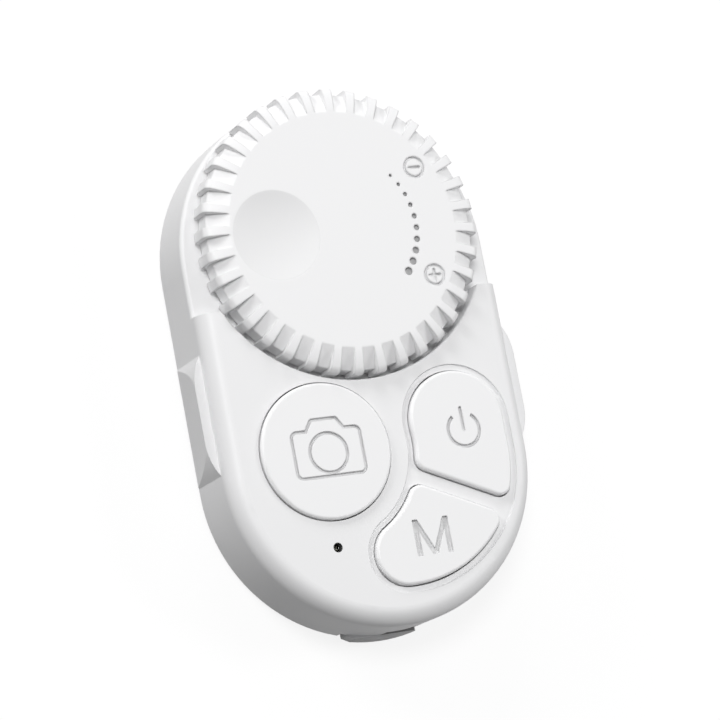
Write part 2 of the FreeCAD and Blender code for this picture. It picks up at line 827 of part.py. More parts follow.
def scroll_dial():
    """A fluted cap with a finger dimple, hollow below, on a hub that runs in the shelf."""
    rib_flat = dial_flat_radius + dial_shoulder_start
    solid = dial_body(dial_rim_radius, rib_flat, rib_drop, rib_mid_out, rib_mid_down)
    solid = solid.makeFillet(rib_end_round, edges_at_height(solid, dial_top_z - rib_drop))
    floor_rim = dial_rim_radius - flute_depth
    floors = dial_body(floor_rim, dial_flat_radius, floor_drop, floor_mid_out, floor_mid_down)
    solid = solid.cut(flute_wedges().cut(floors))
    ball_radius = (dimple_radius ** 2 + dimple_depth ** 2) / (2 * dimple_depth)
    ball_z = dial_top_z + ball_radius - dimple_depth
    solid = solid.cut(Part.makeSphere(ball_radius, FreeCAD.Vector(-dimple_offset, dial_y, ball_z)))
    solid = solid.cut(rod(dial_axis, dial_skirt_inner_radius, dial_bottom_z, dial_ceiling_z))
    solid = solid.cut(dial_marks())
    hub = rod(dial_axis, hub_radius, hub_bottom_z, dial_ceiling_z)
    hub = hub.cut(rod(dial_axis, hub_bore_radius, hub_bottom_z, hub_bottom_z + magnet_height))
    hub = hub.cut(tube(dial_axis, hub_radius - ring_groove_depth, hub_radius, ring_bottom_z, ring_top_z))
    return solid.fuse(hub).removeSplitter()


def retaining_ring():
    """The open clip in the hub's groove, under the shelf."""
    solid = tube(dial_axis, hub_radius - ring_groove_depth, ring_outer_radius, ring_bottom_z, ring_top_z)
    mouth = ring_mouth / 2
    low_y = dial_y - ring_outer_radius
    return solid.cut(block(-mouth, mouth, low_y, dial_y, ring_bottom_z, ring_top_z))


def glide_ring():
    """The slippery ring on the shelf that the dial's skirt runs over."""
    inner = dial_skirt_inner_radius + glide_inset
    outer = dial_rim_radius - glide_outset
    return tube(dial_axis, inner, outer, shelf_z, dial_bottom_z - glide_clearance)


def detent_ring():
    """The ring fixed inside the skirt, with a notch for each click."""
    top = detent_low_z + detent_ring_height
    solid = tube(dial_axis, detent_ring_inner_radius, dial_skirt_inner_radius, detent_low_z, top)
    notches = []
    for index in range(detent_notches):
        spot = on_circle(dial_axis, detent_ring_inner_radius, index * 360 / detent_notches)
        notches.append(rod(spot, detent_notch_radius, detent_low_z, top))
    return solid.cut(notches)


def detent_spring():
    """A post on the shelf, a thin arm, and the round tip that clicks in the notches."""
    top = detent_low_z + detent_spring_height
    tip_x = detent_ring_inner_radius - detent_tip_clearance - detent_tip_radius
    left = tip_x - detent_tip_radius
    right = left + detent_spring_thickness
    arm_start = dial_y - detent_arm_length
    post = rod(FreeCAD.Vector(right - detent_post_radius, arm_start, 0), detent_post_radius, shelf_z, top)
    arm = block(left, right, arm_start, dial_y, detent_low_z, top)
    tip = rod(FreeCAD.Vector(tip_x, dial_y, 0), detent_tip_radius, detent_low_z, top)
    return post.fuse([arm, tip]).removeSplitter()


def encoder_magnet():
    top = hub_bottom_z + magnet_height - magnet_fit
    return rod(dial_axis, hub_bore_radius - magnet_fit, hub_bottom_z, top)


def key(outline, stem_centre, marks):
    """A key cap: a rounded head through the panel, a flange under it and a stem."""
    head = outline(0, flange_bottom_z, key_top_z)
    head = head.makeFillet(key_edge_round, edges_at_height(head, key_top_z))
    flange = outline(key_flange_width, flange_bottom_z, flange_top_z)
    bay_reach = dial_bay_radius + bay_land + key_gap
    flange = flange.cut(rod(bay_axis, bay_reach, flange_bottom_z, flange_top_z))
    stem = rod(stem_centre, key_stem_radius, stem_bottom_z, flange_bottom_z)
    return head.fuse([flange, stem]).cut(marks).removeSplitter()


def tact_switch(place):
    """A square switch body with the bore that its plunger slides in."""
    solid = centred_block(place, switch_size, switch_size, board_top_z, switch_top_z)
    bore_radius = plunger_radius + plunger_side_clearance
    return solid.cut(rod(place, bore_radius, board_top_z + plunger_floor, switch_top_z))


def plunger(place):
    bottom = board_top_z + plunger_floor + key_travel + plunger_side_clearance
    return rod(place, plunger_radius, bottom, plunger_top_z)


def main_board():
    """The circuit board, notched round the screw bosses and the charge socket."""
    solid = capsule(board_inset, board_bottom_z, board_top_z)
    for place in boss_places:
        solid = solid.cut(rod(place, boss_radius + board_boss_clearance, board_bottom_z, board_top_z))
    for place in low_post_places:
        solid = solid.cut(rod(place, pilot_radius, board_bottom_z, board_top_z))
    return solid.cut(socket_mouth(socket_clearance))


def light_pipe():
    """The clear rod from the light chip to just under the panel's pinhole."""
    bottom = board_top_z + led_height + pipe_clearance
    top = panel_z - pipe_recess
    flange_top = panel_under_z - pipe_clearance
    solid = rod(led_centre, pinhole_radius - pipe_clearance, bottom, top)
    flange = rod(led_centre, pipe_flange_radius, flange_top - pipe_flange_thickness, flange_top)
    return solid.fuse(flange).removeSplitter()


def battery_cell():
    top = battery_bottom_z + battery_height
    solid = centred_block(battery_centre, battery_width, battery_length, battery_bottom_z, top)
    return solid.makeFillet(battery_round, solid.Edges)


def battery_tape():
    inset = 2 * tape_inset
    width = battery_width - inset
    length = battery_length - inset
    return centred_block(battery_centre, width, length, cover_thickness, battery_bottom_z)


def battery_lead(side):
    """A lead out of the cell's end, bent up to the board."""
    cell_end = battery_centre.y + battery_length / 2
    start = FreeCAD.Vector(side * lead_spacing / 2, cell_end, battery_bottom_z + lead_height)
    quarter = lead_bend * math.sin(math.radians(45))
    bend = start + FreeCAD.Vector(0, lead_reach, 0)
    middle = bend + FreeCAD.Vector(0, quarter, lead_bend - quarter)
    rise = bend + FreeCAD.Vector(0, lead_bend, lead_bend)
    end = FreeCAD.Vector(start.x, rise.y, board_bottom_z)
    path = Part.Wire([line_edge(start, bend), Part.Arc(bend, middle, rise).toShape(), line_edge(rise, end)])
    section = Part.Wire([Part.Circle(start, FreeCAD.Vector(0, 1, 0), lead_radius).toShape()])
    return path.makePipeShell([section], True, False)


def socket_shell():
    """The charge socket's steel shell, open at the end wall and closed behind."""
    outside = block(-half_width, half_width, socket_front_y, top_y + body_width, 0, panel_z)
    behind = block(-half_width, half_width, end_y, socket_inside_back_y, 0, panel_z)
    hollow = socket_mouth(-socket_wall).cut(behind)
    return socket_mouth(0).cut([outside, hollow]).removeSplitter()


def socket_tongue():
    half = tongue_width / 2
    low = socket_z - tongue_height / 2
    front = socket_inside_back_y + tongue_depth
    return block(-half, half, socket_inside_back_y, front, low, low + tongue_height)


def on_board(place, length_x, length_y, height):
    return centred_block(place, length_x, length_y, board_top_z, board_top_z + height)


def board_capacitors():
    row = []
    for index in range(capacitor_count):
        x = (index - (capacitor_count - 1) / 2) * capacitor_pitch
        row.append(on_board(at(x, capacitor_from_dial), capacitor_width, capacitor_length, capacitor_height))
    return Part.makeCompound(row)


def screw(place, face_z, length, head_height, way):
    """A pan head screw whose head starts at face_z; way is +1 if it points up, -1 if down."""
    axis = upward * way
    face = FreeCAD.Vector(place.x, place.y, face_z)
    solid = Part.makeCylinder(screw_head_radius, head_height, face, axis)
    solid = solid.fuse(Part.makeCylinder(screw_radius, length, face, axis))
    slot_ends = (face_z, face_z + way * head_height / 2)
    reach = 2 * screw_slot_reach
    for length_x, length_y in ((reach, screw_slot), (screw_slot, reach)):
        solid = solid.cut(centred_block(place, length_x, length_y, min(slot_ends), max(slot_ends)))
    return solid.removeSplitter()


def case_screws():
    group = [screw(place, screw_head_sunk, screw_length, screw_head_height, 1) for place in boss_places]
    return Part.makeCompound(group)


def board_screws():
    top = board_top_z + board_screw_head_height
    group = []
    for place in low_post_places:
        group.append(screw(place, top, board_screw_length, board_screw_head_height, -1))
    return Part.makeCompound(group)


nodes = {
    "front_housing": front_housing(),
    "rear_cover": rear_cover(),
    "scroll_dial": scroll_dial(),
    "dial_retaining_ring": retaining_ring(),
    "dial_glide_ring": glide_ring(),
    "detent_ring": detent_ring(),
    "detent_spring": detent_spring(),
    "encoder_magnet": encoder_magnet(),
    "hall_sensor": on_board(dial_axis, hall_length, hall_width, hall_height),
    "shutter_button": key(shutter_outline, shutter_centre, camera_marks()),
    "power_button": key(power_outline, power_switch_centre, power_marks()),
    "mode_button": key(mode_outline, mode_switch_centre, letter_marks()),
    "shutter_switch": tact_switch(shutter_centre),
    "power_switch": tact_switch(power_switch_centre),
    "mode_switch": tact_switch(mode_switch_centre),
    "shutter_plunger": plunger(shutter_centre),
    "power_plunger": plunger(power_switch_centre),
    "mode_plunger": plunger(mode_switch_centre),
    "main_board": main_board(),
    "radio_chip": on_board(at(0, radio_from_dial), radio_size, radio_size, radio_height),
    "charge_chip": on_board(at(charger_x, charger_from_dial), charger_size, charger_size, charger_height),
    "crystal": on_board(at(crystal_x, crystal_from_dial), crystal_width, crystal_length, crystal_height),
    "chip_antenna": on_board(at(antenna_x, antenna_from_dial), antenna_width, antenna_length, antenna_height),
    "board_capacitors": board_capacitors(),
    "status_led": on_board(led_centre, led_length, led_width, led_height),
    "light_pipe": light_pipe(),
    "battery_cell": battery_cell(),
    "battery_tape": battery_tape(),
    "battery_lead_plus": battery_lead(1),
    "battery_lead_minus": battery_lead(-1),
    "charge_socket_shell": socket_shell(),
    "charge_socket_tongue": socket_tongue(),
    "case_screws": case_screws(),
    "board_screws": board_screws(),
}

for name, shape in nodes.items():
    shape.exportStep("parts/" + name + ".step")
    print(name, "solids", len(shape.Solids), "valid", shape.isValid(), "volume", round(shape.Volume, 2))
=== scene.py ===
import math

import bpy
from mathutils import Matrix, Vector


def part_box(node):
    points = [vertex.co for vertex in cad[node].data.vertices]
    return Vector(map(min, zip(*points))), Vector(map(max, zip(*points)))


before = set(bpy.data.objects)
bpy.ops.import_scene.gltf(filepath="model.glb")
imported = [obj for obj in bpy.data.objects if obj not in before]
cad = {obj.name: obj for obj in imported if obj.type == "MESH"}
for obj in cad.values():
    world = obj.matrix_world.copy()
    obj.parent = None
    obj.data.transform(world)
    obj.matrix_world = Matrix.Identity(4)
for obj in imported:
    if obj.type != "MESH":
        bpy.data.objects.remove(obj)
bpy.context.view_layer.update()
print("frame loaded with", len(cad), "nodes")

acrossX = (1, 0, 0)
alongY = (0, 1, 0)
upZ = (0, 0, 1)
beyond = 1.0  # metres, past every piece in any direction


def addNode(tree, kind, place=(0, 0), **settings):
    node = tree.nodes.new(kind)
    node.location = place
    for name, value in settings.items():
        setattr(node, name, value)
    return node


def opaque(color):
    return (*color, 1)


def setInputs(node, values):
    for name, value in values.items():
        node.inputs[name].default_value = value


# joins a socket to an input, or sets a plain value on it
def feed(tree, value, target):
    if isinstance(value, bpy.types.NodeSocket):
        tree.links.new(value, target)
    else:
        target.default_value = value


# an empty node material with its output
def emptyMaterial(name):
    material = bpy.data.materials.new(name)
    material.use_nodes = True
    tree = material.node_tree
    tree.nodes.clear()
    output = addNode(tree, "ShaderNodeOutputMaterial", (600, 0))
    return material, tree, output


# the same with one Principled shader
def newMaterial(name):
    material, tree, output = emptyMaterial(name)
    shader = addNode(tree, "ShaderNodeBsdfPrincipled", (200, 0))
    tree.links.new(shader.outputs["BSDF"], output.inputs["Surface"])
    return material, tree, shader


# a shader node group: inputs are (name, kind, value), outputs are (name, kind)
def newGroup(name, inputs, outputs):
    group = bpy.data.node_groups.new(name, "ShaderNodeTree")
    for label, kind, value in inputs:
        socket = group.interface.new_socket(name=label, in_out="INPUT", socket_type=kind)
        socket.default_value = value
    for label, kind in outputs:
        group.interface.new_socket(name=label, in_out="OUTPUT", socket_type=kind)
    entry = addNode(group, "NodeGroupInput", (-900, 0))
    leave = addNode(group, "NodeGroupOutput", (600, 0))
    return group, entry, leave


def useGroup(tree, group, values):
    node = addNode(tree, "ShaderNodeGroup", (-100, 0))
    node.node_tree = group
    setInputs(node, values)
    return node


def mathNode(tree, operation, first, second, place=(0, 0)):
    node = addNode(tree, "ShaderNodeMath", place, operation=operation)
    feed(tree, first, node.inputs[0])
    feed(tree, second, node.inputs[1])
    return node.outputs[0]


# a colour Mix node, whose colours are its inputs 6 and 7
def mixColors(tree, factor, first, second, place=(0, 0), blend="MIX"):
    node = addNode(tree, "ShaderNodeMix", place, data_type="RGBA", blend_type=blend)
    feed(tree, factor, node.inputs[0])
    feed(tree, first, node.inputs[6])
    feed(tree, second, node.inputs[7])
    return node.outputs[2]


def mapRange(tree, value, low, high, place=(0, 0), span=(0.0, 1.0), interpolation="LINEAR"):
    node = addNode(tree, "ShaderNodeMapRange", place, interpolation_type=interpolation)
    setInputs(node, {"From Min": span[0], "From Max": span[1]})
    feed(tree, value, node.inputs["Value"])
    feed(tree, low, node.inputs["To Min"])
    feed(tree, high, node.inputs["To Max"])
    return node.outputs["Result"]


def addTexture(tree, kind, vector, values, place, **settings):
    node = addNode(tree, kind, place, **settings)
    setInputs(node, values)
    tree.links.new(vector, node.inputs["Vector"])
    return node


def objectPlace(tree, place=(-1100, 0)):
    return addNode(tree, "ShaderNodeTexCoord", place).outputs["Object"]


def addRelief(tree, height, values, place=(-50, -250)):
    bump = addNode(tree, "ShaderNodeBump", place)
    setInputs(bump, values)
    tree.links.new(height, bump.inputs["Height"])
    return bump


noiseSpan = (0.3, 0.7)  # most of a noise texture's values lie in it

mouldedDetail = {
    "grain": {"Detail": 3.0, "Roughness": 0.6},
    "cloud": {"Scale": 140.0, "Detail": 4.0, "Roughness": 0.55},
    "cloudShare": 0.7, "grainShare": 0.3, "grainHeight": 0.00003, "arrisSamples": 4,
}


# moulded plastic: a fine spark-eroded grain, slow changes of gloss and tone, and soft arrises
def makeMouldedSkin(detail):
    group, entry, leave = newGroup("mouldedSkin", [
        ("Color", "NodeSocketColor", (0.8, 0.8, 0.8, 1)),
        ("Grain Scale", "NodeSocketFloat", 4500.0),
        ("Grain Depth", "NodeSocketFloat", 0.1),
        ("Roughness Low", "NodeSocketFloat", 0.4),
        ("Roughness High", "NodeSocketFloat", 0.5),
        ("Arris", "NodeSocketFloat", 0.00012),
        ("Tone Change", "NodeSocketFloat", 0.02),
    ], [
        ("Color", "NodeSocketColor"),
        ("Roughness", "NodeSocketFloat"),
        ("Normal", "NodeSocketVector"),
    ])
    links = group.links
    place = objectPlace(group, (-900, -300))
    grain = addTexture(group, "ShaderNodeTexNoise", place, detail["grain"], (-600, -200))
    links.new(entry.outputs["Grain Scale"], grain.inputs["Scale"])
    cloud = addTexture(group, "ShaderNodeTexNoise", place, detail["cloud"], (-600, -500))

    soft = addNode(group, "ShaderNodeBevel", (-300, -700), samples=detail["arrisSamples"])
    links.new(entry.outputs["Arris"], soft.inputs["Radius"])
    bump = addRelief(group, grain.outputs["Fac"], {"Distance": detail["grainHeight"]}, (0, -500))
    links.new(entry.outputs["Grain Depth"], bump.inputs["Strength"])
    links.new(soft.outputs["Normal"], bump.inputs["Normal"])
    links.new(bump.outputs["Normal"], leave.inputs["Normal"])

    mixed = mathNode(group, "MULTIPLY", cloud.outputs["Fac"], detail["cloudShare"], (-300, -400))
    fine = mathNode(group, "MULTIPLY", grain.outputs["Fac"], detail["grainShare"], (-300, -250))
    blend = mathNode(group, "ADD", mixed, fine, (-100, -300))
    low, high = entry.outputs["Roughness Low"], entry.outputs["Roughness High"]
    links.new(mapRange(group, blend, low, high, (100, -200), noiseSpan), leave.inputs["Roughness"])

    change = entry.outputs["Tone Change"]
    share = mathNode(group, "MULTIPLY", cloud.outputs["Fac"], change, (100, 100))
    toned = mixColors(group, share, entry.outputs["Color"], (0, 0, 0, 1), (300, 100), "MULTIPLY")
    links.new(toned, leave.inputs["Color"])
    return group


brushedDetail = {
    "stretch": (1.0, 0.06, 1.0),
    "lines": {"Detail": 4.0, "Roughness": 0.65},
    "stains": {"Scale": 900.0, "Detail": 3.0},
    "lineHeight": 0.00002, "stainShare": 0.25, "stain": (0.45, 0.43, 0.4),
}


# worked metal: fine lines drawn out along one axis, faint stains and a broken gloss
def makeBrushedSkin(detail):
    group, entry, leave = newGroup("brushedSkin", [
        ("Color", "NodeSocketColor", (0.6, 0.6, 0.6, 1)),
        ("Line Scale", "NodeSocketFloat", 3000.0),
        ("Line Depth", "NodeSocketFloat", 0.1),
        ("Roughness Low", "NodeSocketFloat", 0.25),
        ("Roughness High", "NodeSocketFloat", 0.4),
    ], [
        ("Color", "NodeSocketColor"),
        ("Roughness", "NodeSocketFloat"),
        ("Normal", "NodeSocketVector"),
    ])
    links = group.links
    place = objectPlace(group, (-900, -300))
    stretch = addNode(group, "ShaderNodeMapping", (-750, -300))
    stretch.inputs["Scale"].default_value = detail["stretch"]
    links.new(place, stretch.inputs["Vector"])
    drawn = stretch.outputs["Vector"]
    lines = addTexture(group, "ShaderNodeTexNoise", drawn, detail["lines"], (-550, -200))
    links.new(entry.outputs["Line Scale"], lines.inputs["Scale"])
    stains = addTexture(group, "ShaderNodeTexNoise", place, detail["stains"], (-550, -500))

    bump = addRelief(group, lines.outputs["Fac"], {"Distance": detail["lineHeight"]}, (0, -400))
    links.new(entry.outputs["Line Depth"], bump.inputs["Strength"])
    links.new(bump.outputs["Normal"], leave.inputs["Normal"])

    low, high = entry.outputs["Roughness Low"], entry.outputs["Roughness High"]
    rough = mapRange(group, lines.outputs["Fac"], low, high, (100, -200), noiseSpan)
    links.new(rough, leave.inputs["Roughness"])

    share = mathNode(group, "MULTIPLY", stains.outputs["Fac"], detail["stainShare"], (100, 100))
    stain = opaque(detail["stain"])
    toned = mixColors(group, share, entry.outputs["Color"], stain, (300, 100), "MULTIPLY")
    links.new(toned, leave.inputs["Color"])
    return group


# a mask that is 1 between two places along one Object axis and 0 outside
def makeBand():
    group, entry, leave = newGroup("bandMask", [
        ("Axis", "NodeSocketVector", (0.0, 0.0, 1.0)),
        ("From", "NodeSocketFloat", 0.0),
        ("To", "NodeSocketFloat", 1.0),
    ], [("Mask", "NodeSocketFloat")])
    links = group.links
    along = addNode(group, "ShaderNodeVectorMath", (-600, 0), operation="DOT_PRODUCT")
    links.new(objectPlace(group, (-900, -300)), along.inputs[0])
    links.new(entry.outputs["Axis"], along.inputs[1])
    reach = along.outputs["Value"]
    above = mathNode(group, "GREATER_THAN", reach, entry.outputs["From"], (-300, 100))
    below = mathNode(group, "LESS_THAN", reach, entry.outputs["To"], (-300, -100))
    links.new(mathNode(group, "MULTIPLY", above, below), leave.inputs["Mask"])
    return group


# a mask that is 1 inside an upright round column about a point and 0 outside
def makeColumn():
    group, entry, leave = newGroup("columnMask", [
        ("Centre", "NodeSocketVector", (0.0, 0.0, 0.0)),
        ("Radius", "NodeSocketFloat", 0.01),
    ], [("Mask", "NodeSocketFloat")])
    links = group.links
    offset = addNode(group, "ShaderNodeVectorMath", (-700, 0), operation="SUBTRACT")
    links.new(objectPlace(group, (-900, -300)), offset.inputs[0])
    links.new(entry.outputs["Centre"], offset.inputs[1])
    level = addNode(group, "ShaderNodeVectorMath", (-500, 0), operation="MULTIPLY")
    level.inputs[1].default_value = (1.0, 1.0, 0.0)  # drops the height
    links.new(offset.outputs[0], level.inputs[0])
    length = addNode(group, "ShaderNodeVectorMath", (-300, 0), operation="LENGTH")
    links.new(level.outputs[0], length.inputs[0])
    inside = mathNode(group, "LESS_THAN", length.outputs["Value"], entry.outputs["Radius"])
    links.new(inside, leave.inputs["Mask"])
    return group


mouldedSkin = makeMouldedSkin(mouldedDetail)
brushedSkin = makeBrushedSkin(brushedDetail)
bandMask = makeBand()
columnMask = makeColumn()
print("shared effects built")


# gives a CAD node its finish in all of its slots
def paint(name, material):
    slots = cad[name].data.materials
    if len(slots) == 0:
        slots.append(material)
    for index in range(len(slots)):
        slots[index] = material


def boxSpan(name, axis):
    low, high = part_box(name)
    return low[axis.index(1)], high[axis.index(1)]


def addMouldedSkin(tree, look):
    return useGroup(tree, mouldedSkin, {
        "Color": opaque(look["color"]),
        "Grain Scale": 1 / look["grainSize"],
        "Grain Depth": look["grainDepth"],
        "Roughness Low": look["roughness"][0],
        "Roughness High": look["roughness"][1],
        "Arris": look["arris"],
        "Tone Change": look["toneChange"],
    })


# bands are (axis, from, to) and columns are (point, radius); operation joins their masks
def joinMasks(tree, operation, bands, columns=()):
    masks = []
    for axis, low, high in bands:
        masks.append(useGroup(tree, bandMask, {"Axis": axis, "From": low, "To": high}))
    for point, radius in columns:
        masks.append(useGroup(tree, columnMask, {"Centre": point, "Radius": radius}))
    total = masks[0].outputs["Mask"]
    for mask in masks[1:]:
        total = mathNode(tree, operation, total, mask.outputs["Mask"], (-50, -300))
    return total


waxDepth = 0.0006  # metres that light wanders under a waxy skin


# tones are painted shade: (share of the colour kept, bands, columns), laid where all their masks
# meet
def mouldedPlastic(name, look, paintedShades=()):
    material, tree, shader = newMaterial(name)
    skin = addMouldedSkin(tree, look)
    color = skin.outputs["Color"]
    for kept, bands, columns in paintedShades:
        mask = joinMasks(tree, "MULTIPLY", bands, columns)
        color = mixColors(tree, mask, color, (kept, kept, kept, 1), (50, 200), "MULTIPLY")
    tree.links.new(color, shader.inputs["Base Color"])
    tree.links.new(skin.outputs["Roughness"], shader.inputs["Roughness"])
    tree.links.new(skin.outputs["Normal"], shader.inputs["Normal"])
    shader.inputs["IOR"].default_value = look["ior"]
    if "waxiness" in look:
        shader.inputs["Subsurface Weight"].default_value = look["waxiness"]
        shader.inputs["Subsurface Scale"].default_value = waxDepth
    return material


def workedMetal(name, look):
    material, tree, shader = newMaterial(name)
    skin = useGroup(tree, brushedSkin, {
        "Color": opaque(look["color"]),
        "Line Scale": 1 / look["lineSize"],
        "Line Depth": look["lineDepth"],
        "Roughness Low": look["roughness"][0],
        "Roughness High": look["roughness"][1],
    })
    tree.links.new(skin.outputs["Color"], shader.inputs["Base Color"])
    tree.links.new(skin.outputs["Roughness"], shader.inputs["Roughness"])
    tree.links.new(skin.outputs["Normal"], shader.inputs["Normal"])
    shader.inputs["Metallic"].default_value = 1.0
    return material


plastics = {
    "naturalNylon": {
        "color": (0.70, 0.70, 0.68), "grainSize": 0.0003, "grainDepth": 0.2,
        "roughness": (0.35, 0.5), "arris": 0.0001, "toneChange": 0.08, "ior": 1.52,
        "waxiness": 0.3, "nodes": ["dial_glide_ring", "detent_ring", "detent_spring"],
    },
    "chipEpoxy": {
        "color": (0.028, 0.028, 0.03), "grainSize": 0.00006, "grainDepth": 0.5,
        "roughness": (0.55, 0.75), "arris": 0.00004, "toneChange": 0.3, "ior": 1.5,
        "nodes": ["hall_sensor", "radio_chip", "charge_chip"],
    },
    "plungerAcetal": {
        "color": (0.74, 0.74, 0.70), "grainSize": 0.00012, "grainDepth": 0.1,
        "roughness": (0.3, 0.4), "arris": 0.00008, "toneChange": 0.05, "ior": 1.48,
        "waxiness": 0.2, "nodes": ["shutter_plunger", "power_plunger", "mode_plunger"],
    },
    "tapeFoam": {
        "color": (0.03, 0.03, 0.032), "grainSize": 0.00035, "grainDepth": 1.0,
        "roughness": (0.85, 0.95), "arris": 0.00002, "toneChange": 0.4, "ior": 1.45,
        "nodes": ["battery_tape"],
    },
    "redSleeve": {
        "color": (0.5, 0.02, 0.02), "grainSize": 0.0002, "grainDepth": 0.1,
        "roughness": (0.45, 0.6), "arris": 0.00001, "toneChange": 0.1, "ior": 1.42,
        "nodes": ["battery_lead_plus"],
    },
    "blackSleeve": {
        "color": (0.02, 0.02, 0.02), "grainSize": 0.0002, "grainDepth": 0.1,
        "roughness": (0.45, 0.6), "arris": 0.00001, "toneChange": 0.1, "ior": 1.42,
        "nodes": ["battery_lead_minus"],
    },
}

metals = {
    "springSteel": {
        "color": (0.56, 0.56, 0.57), "lineSize": 0.0002, "lineDepth": 0.2,
        "roughness": (0.22, 0.38), "nodes": ["dial_retaining_ring"],
    },
    "magnetNickel": {
        "color": (0.66, 0.65, 0.62), "lineSize": 0.0006, "lineDepth": 0.05,
        "roughness": (0.12, 0.22), "nodes": ["encoder_magnet"],
    },
    "crystalLid": {
        "color": (0.72, 0.70, 0.66), "lineSize": 0.0001, "lineDepth": 0.15,
        "roughness": (0.22, 0.35), "nodes": ["crystal"],
    },
    "socketSteel": {
        "color": (0.60, 0.60, 0.61), "lineSize": 0.00012, "lineDepth": 0.25,
        "roughness": (0.25, 0.4), "nodes": ["charge_socket_shell"],
    },
    "zincScrew": {
        "color": (0.55, 0.56, 0.58), "lineSize": 0.0003, "lineDepth": 0.2,
        "roughness": (0.28, 0.45), "nodes": ["case_screws", "board_screws"],
    },
}

for makeFinish, looks in ((mouldedPlastic, plastics), (workedMetal, metals)):
    for finish, look in looks.items():
        made = makeFinish(finish, look)
        for name in look["nodes"]:
            paint(name, made)
    print(len(looks), "finishes laid")


# housing: satin white, with painted shade inside the light's pinhole
housingLook = {
    "color": (0.86, 0.86, 0.865), "grainSize": 0.00016, "grainDepth": 0.05,
    "roughness": (0.42, 0.5), "arris": 0.00015, "toneChange": 0.015, "ior": 1.46,
    "pinholeShadeKept": 0.15, "pinholeRadius": 0.00056,
}
pipeLow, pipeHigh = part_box("light_pipe")
pipeMiddle = tuple((low + high) / 2 for low, high in zip(pipeLow, pipeHigh))
pinholePaintedShade = (housingLook["pinholeShadeKept"], [], [(pipeMiddle, housingLook["pinholeRadius"])])
paint("front_housing", mouldedPlastic("casePlastic", housingLook, [pinholePaintedShade]))

# rear cover: fine matt back, with painted deep shade inside the lanyard slot and a little painted
# shade on the tab's face
coverLook = {
    "color": (0.84, 0.84, 0.845), "grainSize": 0.00022, "grainDepth": 0.35,
    "roughness": (0.55, 0.68), "arris": 0.00012, "toneChange": 0.02, "ior": 1.46,
    "slotShadeKept": 0.3, "slotAcross": (-0.00065, 0.00375), "slotAlong": (-0.0312, -0.022),
    "slotUp": (0.00185, 0.0042), "tabShadeKept": 0.8, "tabFace": -0.03122,
}
slotShade = (coverLook["slotShadeKept"], [
    (acrossX, *coverLook["slotAcross"]),
    (alongY, *coverLook["slotAlong"]),
    (upZ, *coverLook["slotUp"]),
], [])
tabShade = (coverLook["tabShadeKept"], [(alongY, -beyond, coverLook["tabFace"])], [])
paint("rear_cover", mouldedPlastic("coverPlastic", coverLook, [slotShade, tabShade]))
print("housing and cover finished")


# the heights between which a piece's sunk marks have their floors
def markBand(name, look):
    top = boxSpan(name, upZ)[1]
    return upZ, top - look["markDeep"], top - look["markShallow"]


# keys: satin caps with painted shade in their sunk marks
keyLook = {
    "color": (0.898, 0.898, 0.902), "grainSize": 0.00018, "grainDepth": 0.04,
    "roughness": (0.4, 0.47), "arris": 0.00015, "toneChange": 0.012, "ior": 1.46,
    "markShadeKept": 0.84, "markDeep": 0.00042, "markShallow": 0.0001,
    "marks": {  # each mark's middle and reach
        "shutter_button": ((-0.00655, -0.010675, 0), 0.0065),
        "power_button": ((0.0107, -0.009925, 0), 0.0032),
        "mode_button": ((0.00425, -0.021725, 0), 0.0034),
    },
}
for name, column in keyLook["marks"].items():
    keyMarkShade = (keyLook["markShadeKept"], [markBand(name, keyLook)], [column])
    paint(name, mouldedPlastic(name + "Plastic", keyLook, [keyMarkShade]))

# dial: satin cap with painted shade in the sunk dots at its right and a little painted shade in the
# dimple at its left
dialLook = {
    "color": (0.893, 0.893, 0.897), "grainSize": 0.00018, "grainDepth": 0.05,
    "roughness": (0.4, 0.48), "arris": 0.0003, "toneChange": 0.012, "ior": 1.46,
    "markShadeKept": 0.6, "markDeep": 0.00042, "markShallow": 0.0001,
    "axis": (0.0, 0.014875, 0), "dotsFrom": 0.005, "dotsRadius": 0.0102,
    "dimpleShadeKept": 0.93, "dimpleCentre": (-0.00845, 0.014875, 0), "dimpleRadius": 0.00535,
    "dimpleReach": 0.001,
}
dialTop = boxSpan("scroll_dial", upZ)[1]
dialDotShade = (
    dialLook["markShadeKept"],
    [markBand("scroll_dial", dialLook), (acrossX, dialLook["dotsFrom"], beyond)],
    [(dialLook["axis"], dialLook["dotsRadius"])],
)
dialDimpleShade = (
    dialLook["dimpleShadeKept"],
    [(upZ, dialTop - dialLook["dimpleReach"], beyond)],
    [(dialLook["dimpleCentre"], dialLook["dimpleRadius"])],
)
paint("scroll_dial", mouldedPlastic("dialPlastic", dialLook, [dialDotShade, dialDimpleShade]))
print("keys and dial finished")


# a moulded body whose ends or faces are bare metal, told apart by band masks
def bandedFinish(name, look, bands):
    material, tree, shader = newMaterial(name)
    links = tree.links
    skin = addMouldedSkin(tree, look)
    metal = joinMasks(tree, "MAXIMUM", bands)
    color = mixColors(tree, metal, skin.outputs["Color"], opaque(look["metal"]), (50, 200))
    links.new(color, shader.inputs["Base Color"])
    links.new(metal, shader.inputs["Metallic"])
    gloss = addNode(tree, "ShaderNodeMix", (50, -100))
    feed(tree, metal, gloss.inputs[0])
    feed(tree, skin.outputs["Roughness"], gloss.inputs[2])
    feed(tree, look["metalRoughness"], gloss.inputs[3])
    links.new(gloss.outputs[0], shader.inputs["Roughness"])
    links.new(skin.outputs["Normal"], shader.inputs["Normal"])
    shader.inputs["IOR"].default_value = look["ior"]
    return material


# bands over both ends of a piece along an axis
def endBands(name, axis, length):
    low, high = boxSpan(name, axis)
    return [(axis, -beyond, low + length), (axis, high - length, beyond)]


